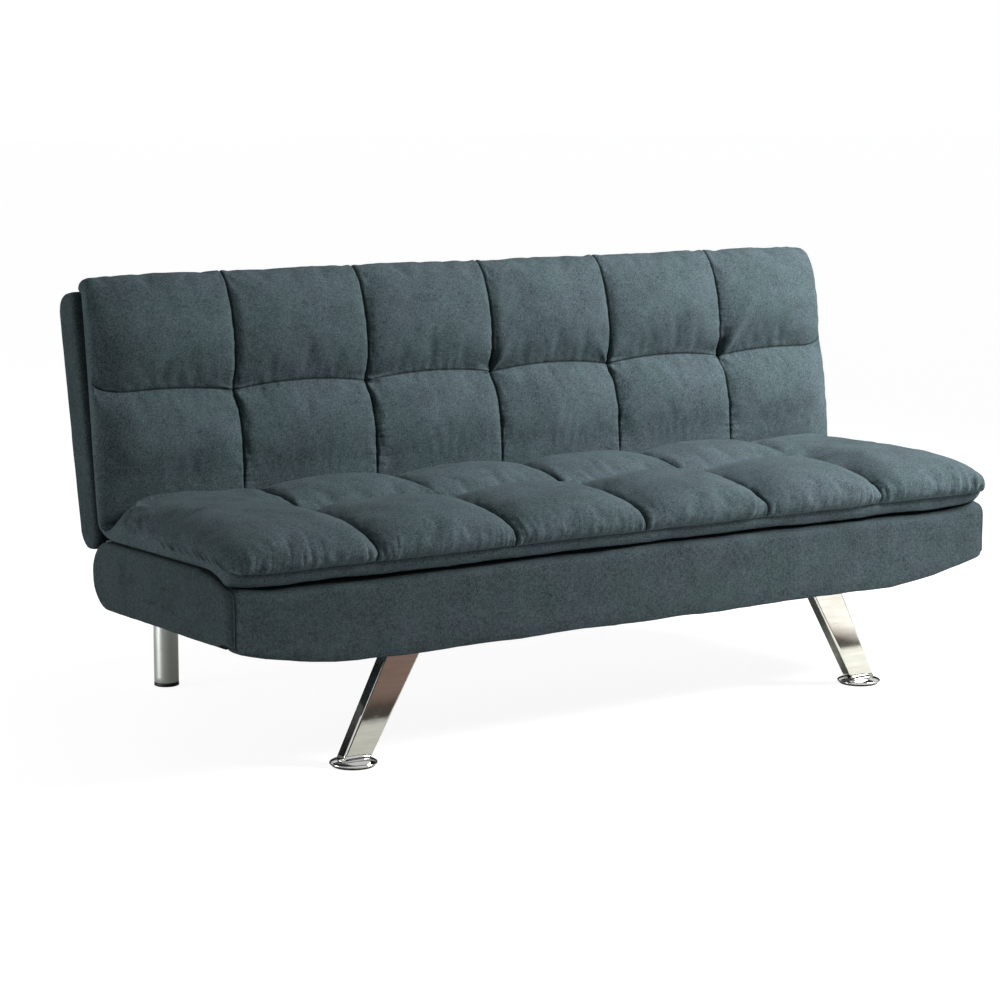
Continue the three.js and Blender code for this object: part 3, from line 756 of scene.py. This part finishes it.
def mark_cloth(topper, marks):
    """Attributes for the cloth's material: the sewn lines, which the material darkens as painted shade in
    the seam grooves, and where fine gathers and tucks lie.
    """
    u, v, upper, column, row, in_fold, strength = seam_fields(topper, marks)
    past_fold = 40 * ramp(v, marks["fold_start"] - 60, marks["fold_start"])
    welt = np.minimum(v, SEAT_HALF - np.abs(u) + past_fold)
    line = bell(np.minimum.reduce([column, row, welt + 0.3]), 1.6)
    # painted shade: how strongly the material darkens the cloth along the column, cross and welt seams
    put_attribute(topper, "stitch_and_seam_shade", np.maximum(line * upper, 0.8 * bell(v, 1.6)))
    patchy = np.clip(0.55 + 1.3 * cloth_noise(u, v, 1, 1, 0.008, 21), 0.1, 1.0)
    at_welt = 3.4 * bell(v, 20.0 + 14 * strength) * strength * np.maximum(patchy, 0.35)
    at_row = 0.55 * bell(row, 20.0, 1.5) * patchy
    at_fold_end = 1.4 * ramp(np.abs(u), 790, 865) * bell(v - marks["fold_start"], 32.0)
    put_attribute(topper, "gather", upper * (np.maximum(at_welt, at_row) * (1 - in_fold) + at_fold_end))
    put_attribute(topper, "tuck", upper * bell(column, 20.0, 1.5) * patchy * 0.7)


# ---- boxes ---------------------------------------------------------------------------------
def arc(cy, cz, radius, start, end, steps=6):
    angles = [math.radians(start + (end - start) * k / steps) for k in range(steps + 1)]
    return [(cy + radius * math.cos(a), cz + radius * math.sin(a)) for a in angles]


def spread(points, gap):
    """Adds points along long straight runs of a closed outline so that its edges are about gap long."""
    out = []
    for a, b in zip(points, points[1:] + points[:1]):
        length = math.dist(a, b)
        steps = max(1, round(length / gap))
        out += [(a[0] + (b[0] - a[0]) * k / steps, a[1] + (b[1] - a[1]) * k / steps) for k in range(steps)]
    return out


def apron_drop(x):
    """Height of the front board's lower edge at x."""
    share = np.clip((abs(x) / BOX_HALF - 0.68) / 0.32, 0, 1)
    sag = 2.2 * noise.noise(Vector((x * 0.009, 3.1, 0))) + 1.4 * noise.noise(Vector((x * 0.024, 8.7, 0)))
    return 204.5 + 45.5 * share ** 1.9 + sag * (1 - share ** 4)


# The box's top front edge, lower than the rest of its top, so the topper stands clear of it.
SHOULDER = [(0, 331), (1, 337.5), (5, 342.5), (13, 346.5), (28, 350), (50, 358), (74, 368), (96, 376),
            (120, 380)]
BOX_BOTTOM = 250                       # the box's under side
BOARD_BOTTOM = 208                     # the front board's lower edge in the outline, before apron_drop


def slack(x):
    """How far the cloth along the box's shoulder stands above SHOULDER at x: wavy, higher at the ends."""
    wave = 3.2 * noise.noise(Vector((x * 0.007, 5.5, 0))) + 1.6 * noise.noise(Vector((x * 0.021, 2.5, 0)))
    return wave + 10.0 * ramp(abs(x), 790, 880)


def hinge_slots(outer, front):
    """Room for the hinge units at both ends of the seat box, as boxes to cut out."""
    slots = []
    for side in (-1, 1):
        left, right = sorted((side * HINGE_SLOT[0], side * outer))
        slots.append((place(left, front, 298), place(right, 540, 386)))
    return slots


def make_seat_foam():
    """The foam slab under the cover, rounded to the same shoulder."""
    outline = [(y + 7, z - 9) for y, z in SHOULDER[4:-1]]
    outline += [(440, 373), (490, 370), (508, 362), (512, 350), (512, 338), (260, 338), (33, 338)]
    outline = spread(outline, 30)
    middle = 255

    def shape(x, inset, y, z):
        y_in = math.copysign(inset, y - middle) * min(1.0, (abs(y - middle) / 240) ** 2)
        y = y - y_in + corner_recede_box(abs(x)) * max(0.0, 1 - y / 60)
        return y, z - inset * 0.5 if z > 350 else z

    foam = lofted("seat_foam_slab", 886.0, outline, shape)
    cut(foam, hinge_slots(900.0, 440))
    finished(foam, "foam", "seat")
    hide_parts("seat_foam")


def make_seat_box():
    """The seat's upholstered box, with its deeper front board in one piece."""
    outline = (SHOULDER + arc(465, 320, 60, 90, 0, 8) + arc(465, 310, 60, 0, -90, 8)
               + [(33, 250), (31, 248), (31, 216), (27, 208.5), (16, 208), (3, 209.5), (0, 214)])
    outline = spread(outline, 24)
    middle_y, middle_z = 250.0, 315.0

    def shape(x, inset, y, z):
        if z < 249 and y < 32:
            low, up = apron_drop(x), BOX_BOTTOM - z
            share = up / (BOX_BOTTOM - BOARD_BOTTOM)
            z += (low - BOARD_BOTTOM) * share if low < BOX_BOTTOM else up * 0.98
        if z < 275 and y < 60:
            z += lower_corner(abs(x)) * min(1.0, (275 - z) / 25, (60 - y) / 28)
        y = y - math.copysign(inset, y - middle_y) * min(1.0, (abs(y - middle_y) / 240) ** 2)
        z = z - math.copysign(inset, z - middle_z) * min(1.0, abs(z - middle_z) / 50)
        y += corner_recede_box(abs(x)) * max(0.0, 1 - y / 60)
        if y < 92 and z > 326:
            z += slack(x) * min(1.0, (z - 326) / 20, (92 - y) / 30)
        return y, z

    box = lofted("seat_upholstery", BOX_HALF, outline, shape)
    rumple_box(box, 1)
    corner_seams(box)
    cut(box, hinge_slots(HINGE_SLOT[1], 476))
    finished(box, "cover_fabric", "seat")
    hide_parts("seat_cover", "seat_front_panel")


def corner_recede_box(side):
    """How far a box's front corners are rounded back at x = side."""
    r = 11.0
    over = min(max(side - (BOX_HALF - r), 0), r * 0.96)
    return r - math.sqrt(r * r - over * over)


def lower_corner(side):
    """How far the front board's lower corner is rounded off at x = side."""
    r = 13.0
    over = min(max(side - (BOX_HALF - 22), 0), r * 0.96)
    return r - math.sqrt(r * r - over * over)


def box_stations(half):
    """x and how far the outline is drawn in there: a soft rounded edge round each end panel."""
    ends = [(half, 9.0), (half - 0.8, 5.0), (half - 3, 2.2), (half - 7, 0.6), (half - 9.4, 0.2),
            (half - 10.7, 0.0), (half - 12, 0.0), (half - 15, 0.0),
            (half - 22, 0.0), (half - 40, 0.0)]
    inner = np.linspace(-(half - 70), half - 70, 71)
    return [(-x, i) for x, i in ends] + [(x, 0.0) for x in inner] + [(x, i) for x, i in ends[::-1]]


def lofted(name, half, outline, shape):
    """A closed body 2 * half long. shape takes x, the inset there and a point of the outline, and
    gives the point's (y, z)."""
    stations = box_stations(half)
    points = [place(x, *shape(x, inset, *p)) for x, inset in stations for p in outline]
    rows, cols = len(stations), len(outline)
    made = mesh_object(name, points, grid_faces(rows, cols, close=True))
    close_ends(made, rows, cols)
    return outward(made)


def close_ends(obj, rows, cols):
    """Fills each end with rings that shrink to the middle, so that the end panel is softly crowned."""
    bm = bmesh.new()
    bm.from_mesh(obj.data)
    bm.verts.ensure_lookup_table()
    rims = [[bm.verts[start + k] for k in range(cols)] for start in (0, (rows - 1) * cols)]
    for sign, rim in zip((-1, 1), rims):
        corners = [v.co.copy() for v in rim]
        middle = sum(corners, Vector()) / cols
        ring = rim
        for share in (0.96, 0.86, 0.7, 0.5, 0.25):
            bulge = Vector((sign * 0.0012 * (1 - share) ** 0.5, 0, 0))
            inner = [bm.verts.new(middle + (c - middle) * share + bulge) for c in corners]
            for k in range(cols):
                bm.faces.new((ring[k], ring[(k + 1) % cols], inner[(k + 1) % cols], inner[k]))
            ring = inner
        bm.faces.new(ring)
    bm.to_mesh(obj.data)
    bm.free()
    obj.data.shade_smooth()


def corner_seams(obj):
    """The sewn line down each front corner and along the top edge of each end panel, pressed in and marked
    for the material's painted shade.
    """
    co = points_of(obj) / MM
    line = np.exp(-((np.abs(co[:, 0]) - (BOX_HALF - 10.7)) / 1.1) ** 2)
    move_along_normals(obj, line * -1.6 * MM)
    # painted shade: the material darkens the cloth along this line as if in the groove's shadow
    put_attribute(obj, "stitch_and_seam_shade", line * 0.8)


def rumple_box(obj, seed):
    """Slight unevenness of the cloth over its board."""
    co = points_of(obj)
    slow = noise_at(co, 6.0, seed) * 0.0014
    fine = noise_at(co * np.array([1, 2.5, 2.5]), 16.0, seed + 3) * 0.0007
    move_along_normals(obj, slow + fine)


def make_back_box():
    """The back's upholstered box, drawn in from_back's measures: s up the back, t out of it."""
    t0, t1 = -32.0, 33.0
    radius = (t1 - t0) / 2 - 0.2
    middle = (t0 + t1) / 2
    outline = (arc(10 + radius, middle, radius, 90, 270, 12) + arc(460, t0 + 30, 30, 270, 360, 6)
               + arc(474, t1 - 16, 16, 0, 90, 5))
    outline = spread(outline, 24)

    def shape(x, inset, s, t):
        s = s - math.copysign(inset, s - 250) * min(1.0, (abs(s - 250) / 235) ** 2)
        t = t - math.copysign(inset, t - middle) * min(1.0, abs(t - middle) / 20)
        if s > 440:
            s -= corner_recede_box(abs(x)) * 0.6
        return from_back(s, t)

    box = lofted("back_upholstery", BOX_HALF, outline, shape)
    rumple_box(box, 2)
    panel_cut(box)
    finished(box, "cover_fabric", "backrest")
    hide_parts("back_cover")


def panel_cut(box):
    """Opening for the rear lining panel, and slots for the hinge arms. Both are cut square to the
    back, so the mesh is laid flat for it."""
    lay = Matrix.Translation(place(0, *HINGE)) @ Matrix.Rotation(LEAN, 4, "X")
    box.data.transform(lay.inverted())
    tools = [(Vector((-0.830, 0.070, -0.040)), Vector((0.830, 0.440, -0.0275)))]
    for side in (-1, 1):
        left, right = sorted(side * x * MM for x in HINGE_SLOT)
        tools.append((Vector((left, 0.0, -0.040)), Vector((right, 0.024, 0.040))))
    cut(box, tools)
    box.data.transform(lay)


# ---- legs ----------------------------------------------------------------------------------
def ring_of(half_x, half_y, radius, steps=6):
    """Rounded rectangle, with a point just past each end of every corner to keep the sides flat."""
    points = []
    for sx, sy, start in ((1, 1, 0), (-1, 1, 90), (-1, -1, 180), (1, -1, 270)):
        corner = []
        for k in range(steps + 1):
            a = math.radians(start + 90 * k / steps)
            corner.append((sx * (half_x - radius) + radius * math.cos(a),
                           sy * (half_y - radius) + radius * math.sin(a)))
        a, b = math.radians(start), math.radians(start + 90)
        before = (corner[0][0] + 1.2 * math.sin(a), corner[0][1] - 1.2 * math.cos(a))
        after = (corner[-1][0] - 1.2 * math.sin(b), corner[-1][1] + 1.2 * math.cos(b))
        points += [before, *corner, after]
    return points


def make_front_leg(name, side):
    """A flat chromed bar, wider at the top, that splays outwards to its foot disc."""
    foot_x, foot_y = FRONT_FOOT
    top_x, low, high = 483.5, 14, 245.2
    sections = []
    for z in np.linspace(low, high, 25):
        share = (z - low) / (high - low)
        centre = foot_x + (top_x - foot_x) * share
        ring = ring_of(30 + 10 * share, 14, 4.0)
        sections.append([place(side * centre + px, foot_y + py, z) for px, py in ring])
    leg = mesh_object(f"front_leg_bar_{name}", [p for s in sections for p in s],
                      grid_faces(len(sections), len(sections[0]), close=True))
    bm = bmesh.new()
    bm.from_mesh(leg.data)
    bmesh.ops.holes_fill(bm, edges=bm.edges, sides=0)
    bm.to_mesh(leg.data)
    bm.free()
    outward(leg)
    finished(leg, "chrome", "seat")
    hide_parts(f"front_leg_{name}")


def turned(name, profile, centre, segments=64):
    """Solid of revolution about a vertical axis from (radius, height) pairs."""
    points = []
    for radius, z in profile:
        for k in range(segments):
            a = 2 * math.pi * k / segments
            points.append(place(centre[0] + radius * math.cos(a), centre[1] + radius * math.sin(a), z))
    faces = grid_faces(len(profile), segments, close=True)
    faces.append(tuple(range(segments)))
    faces.append(tuple(range((len(profile) - 1) * segments, len(profile) * segments)))
    return outward(mesh_object(name, points, faces))


def make_foot_disc(name, side):
    """The domed chrome disc under a front leg."""
    profile = curve([(40, 4.35), (42.6, 4.4), (43.9, 5.6), (43.4, 7.6), (41, 9.2), (36.5, 10.9), (31, 12.4),
                     (24, 13.4), (12, 13.7), (2, 13.7)], 34)
    disc = turned(f"foot_disc_{name}", [tuple(p) for p in profile],
                  (side * FRONT_FOOT[0], FRONT_FOOT[1]))
    finished(disc, "chrome", "seat")
    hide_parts(f"front_foot_disc_{name}")


def make_rear_leg(name, side):
    """A painted round tube on a thin black cap."""
    centre = (side * 567, 857)
    profile = [(23.2, 8.0), (24.4, 8.05), (25, 8.7), (25, 20), (25, 120), (25, 200), (25, 290),
               (25, 302.3), (24.4, 302.95), (23.2, 303)]
    leg = turned(f"rear_leg_tube_{name}", profile, centre)
    finished(leg, "silver_paint", "seat")
    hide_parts(f"rear_leg_{name}")
    profile = [(20, 0.0), (22.6, 0.1), (24.8, 0.9), (25.4, 2.2), (25.4, 6.6), (24.9, 7.5), (23, 7.7)]
    cap = turned(f"rear_leg_foot_{name}", profile, centre)
    finished(cap, "black_plastic", "seat")
    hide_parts(f"rear_leg_cap_{name}")


# ---- studio --------------------------------------------------------------------------------
def make_floor():
    size = 60.0
    corners = [(-size, -size, 0), (size, -size, 0), (size, size, 0), (-size, size, 0)]
    floor = mesh_object("studio_floor", corners, [(0, 1, 2, 3)])
    floor.data.materials.append(pale_floor())


def area_light(name, at, towards, size, power, spread=180):
    data = bpy.data.lights.new(name, "AREA")
    data.shape = "RECTANGLE"
    data.size, data.size_y = size
    data.energy = power
    data.spread = math.radians(spread)
    light = bpy.data.objects.new(name, data)
    light.location = at
    light.rotation_mode = "QUATERNION"
    light.rotation_quaternion = (Vector(towards) - Vector(at)).to_track_quat("-Z", "Y")
    bpy.context.scene.collection.objects.link(light)


def light_studio():
    """A white sweep seen by the camera; the light itself comes from overhead, dark at the horizon.
    Polished metal mirrors a bright studio over a dark horizon."""
    world = bpy.data.worlds.new("studio")
    world.use_nodes = True
    tree = world.node_tree
    new, link = tree.nodes.new, tree.links.new

    def by_height(*stops):
        node = new("ShaderNodeValToRGB")
        for element, (position, color) in zip(node.color_ramp.elements, stops):
            element.position, element.color = position, (*color, 1)
        link(axes.outputs[2], node.inputs[0])
        return node.outputs[0]

    axes = new("ShaderNodeSeparateXYZ")
    link(new("ShaderNodeTexCoord").outputs["Generated"], axes.inputs[0])
    light = tree.nodes["Background"]
    light.inputs[1].default_value = 0.30
    link(by_height((0.08, (0.13, 0.12, 0.11)), (0.75, (0.97, 0.985, 1.0))), light.inputs[0])
    mirrored = new("ShaderNodeBackground")
    link(by_height((0.27, (0.012, 0.012, 0.012)), (0.40, (0.86, 0.87, 0.88))), mirrored.inputs[0])
    seen = new("ShaderNodeBackground")
    seen.inputs[0].default_value = (1.0, 1.0, 1.0, 1)
    path = new("ShaderNodeLightPath")
    shown = light
    for ray, background in (("Is Glossy Ray", mirrored), ("Is Camera Ray", seen)):
        mix = new("ShaderNodeMixShader")
        link(path.outputs[ray], mix.inputs[0])
        link(shown.outputs[0], mix.inputs[1])
        link(background.outputs[0], mix.inputs[2])
        shown = mix
    link(shown.outputs[0], tree.nodes["World Output"].inputs[0])
    bpy.context.scene.world = world
    area_light("key", (2.35, -1.7, 2.45), (0.75, 0.05, 0.5), (1.3, 1.3), 85, spread=100)
    area_light("low_side", (-3.2, 0.9, 0.35), (-0.9, 0.2, 0.2), (1.2, 0.7), 30)


def make_camera():
    data = bpy.data.cameras.new("camera")
    data.lens, data.sensor_width = 98.42, 36.0
    data.clip_start, data.clip_end = 0.1, 200
    camera = bpy.data.objects.new("camera", data)
    yaw, pitch = math.radians(-34.9), math.radians(8.5)
    forward = Vector((-math.sin(yaw) * math.cos(pitch), math.cos(yaw) * math.cos(pitch), -math.sin(pitch)))
    camera.location = (-3.141, -4.4581, 1.2011)
    camera.rotation_mode = "QUATERNION"
    camera.rotation_quaternion = forward.to_track_quat("-Z", "Y")
    bpy.context.scene.collection.objects.link(camera)
    bpy.context.scene.camera = camera


make_camera()
light_studio()
make_floor()
dress_cad_nodes()
make_topper()
make_seat_foam()
make_seat_box()
make_back_box()
for name, side in (("left", -1), ("right", 1)):
    make_front_leg(name, side)
    make_foot_disc(name, side)
    make_rear_leg(name, side)
bpy.context.scene.view_settings.view_transform = "Standard"
